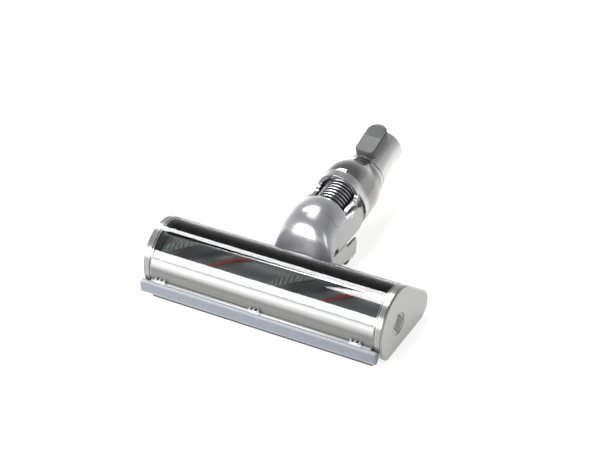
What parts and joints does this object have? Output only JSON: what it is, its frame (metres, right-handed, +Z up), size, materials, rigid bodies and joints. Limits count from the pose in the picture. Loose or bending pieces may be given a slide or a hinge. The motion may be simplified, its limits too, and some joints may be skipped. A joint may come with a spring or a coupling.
{
  "type": "vacuum turbo brush",
  "caption": "Motorised vacuum floor head with a clear-topped brush roll housing, felt bumper, hinged and swivelling neck, hose elbow and wand socket with release button.",
  "frame": {"origin": "on the floor under the middle of the part's width and depth", "axes": "+X along the brush roll towards the vented end cap, +Y from the bumper to the wand socket, +Z up"},
  "size_m": [0.25, 0.265, 0.0901],
  "materials": {
    "satin_grey": "satin moulded plastic, warm light grey",
    "tube_grey": "satin moulded plastic, mid grey",
    "housing_grey": "satin moulded plastic, dark grey",
    "dark_plastic": "fine-grained black plastic",
    "clear_plastic": "clear polished plastic with a light smoke tint",
    "gloss_dark": "high-gloss purple-grey plastic",
    "silver_paint": "silver-painted plastic",
    "felt": "blue-grey felt pile",
    "soft_black": "black flexible plastic",
    "roll_grey": "matte moulded tube",
    "steel": "bright steel",
    "contact_metal": "bright plated",
    "red_pile": "dense red bristle pile",
    "black_pile": "dense black carbon pile",
    "grey_pile": "green-grey nylon tufts",
    "tread": "soft black tread"
  },
  "bodies": {
    "head": {"main_housing": "housing_grey", "clear_cover": "clear_plastic", "sole_plate": "dark_plastic", "sole_screws": "steel", "front_axle_left": "steel", "front_axle_right": "steel", "bumper_strip": "felt", "lip_seal": "soft_black", "end_cap_right": "satin_grey", "end_cap_left": "satin_grey", "vent_grille": "dark_plastic", "stub_bearing": "steel", "gearbox": "dark_plastic", "brush_motor": "steel", "motor_mount": "dark_plastic", "yoke": "gloss_dark", "elbow_cover": "gloss_dark", "collar_cover": "gloss_dark", "wheel_carriage": "satin_grey", "rear_axle": "steel", "tilt_pins": "steel", "hose_cuff_front": "dark_plastic", "hose": "soft_black"},
    "brush_roll": {"brush_tube": "roll_grey", "brush_plug": "dark_plastic", "stub_axle": "steel", "drive_dog": "dark_plastic", "drive_shaft": "steel", "roll_bearing": "steel", "red_bristles": "red_pile", "black_bristles": "black_pile", "nylon_tufts": "grey_pile"},
    "neck": {"fork_frame": "silver_paint", "trim_ring": "silver_paint", "dome_shell": "gloss_dark", "hose_cuff_rear": "dark_plastic"},
    "wand_socket": {"wand_tube": "tube_grey", "swivel_clip": "dark_plastic", "contact_block": "dark_plastic", "contact_blades": "contact_metal", "button_pin": "steel", "button_spring": "steel"},
    "release_button": {"release_button": "tube_grey"},
    "cap_lock": {"cap_lock": "dark_plastic"},
    "front_roller_left": {"front_roller_left": "tread"},
    "front_roller_right": {"front_roller_right": "tread"},
    "rear_wheel_left": {"rear_wheel_left": "tread"},
    "rear_wheel_right": {"rear_wheel_right": "tread"}
  },
  "joints": [
    {"name": "brush_spin", "type": "hinge", "parent": "head", "child": "brush_roll", "pos_m": [0, -0.09304, 0.0294], "axis": [1, 0, 0], "continuous": true},
    {"name": "neck_tilt", "type": "hinge", "parent": "head", "child": "neck", "pos_m": [0, 0.00847, 0.0545], "axis": [1, 0, 0], "range_deg": [0, 75], "deforming": ["hose"]},
    {"name": "neck_twist", "type": "hinge", "parent": "neck", "child": "wand_socket", "pos_m": [0, 0.0843, 0.0534], "axis": [0, 0.991, 0.134], "range_deg": [-90, 90]},
    {"name": "button_press", "type": "hinge", "parent": "wand_socket", "child": "release_button", "pos_m": [0, 0.09467, 0.07728], "axis": [-1, 0, 0], "range_deg": [0, 4], "stiffness_Nm_per_rad": 1.2, "deforming": ["button_spring"]},
    {"name": "cap_lock_turn", "type": "hinge", "parent": "head", "child": "cap_lock", "pos_m": [-0.125, -0.04888, 0.01893], "axis": [1, 0, 0], "range_deg": [0, 90]},
    {"name": "front_roller_left_spin", "type": "hinge", "parent": "head", "child": "front_roller_left", "pos_m": [-0.088, -0.12183, 0.0046], "axis": [1, 0, 0], "continuous": true},
    {"name": "front_roller_right_spin", "type": "hinge", "parent": "head", "child": "front_roller_right", "pos_m": [0.088, -0.12183, 0.0046], "axis": [1, 0, 0], "continuous": true},
    {"name": "rear_wheel_left_spin", "type": "hinge", "parent": "head", "child": "rear_wheel_left", "pos_m": [-0.0185, 0.00596, 0.009], "axis": [1, 0, 0], "continuous": true},
    {"name": "rear_wheel_right_spin", "type": "hinge", "parent": "head", "child": "rear_wheel_right", "pos_m": [0.0185, 0.00596, 0.009], "axis": [1, 0, 0], "continuous": true}
  ]
}
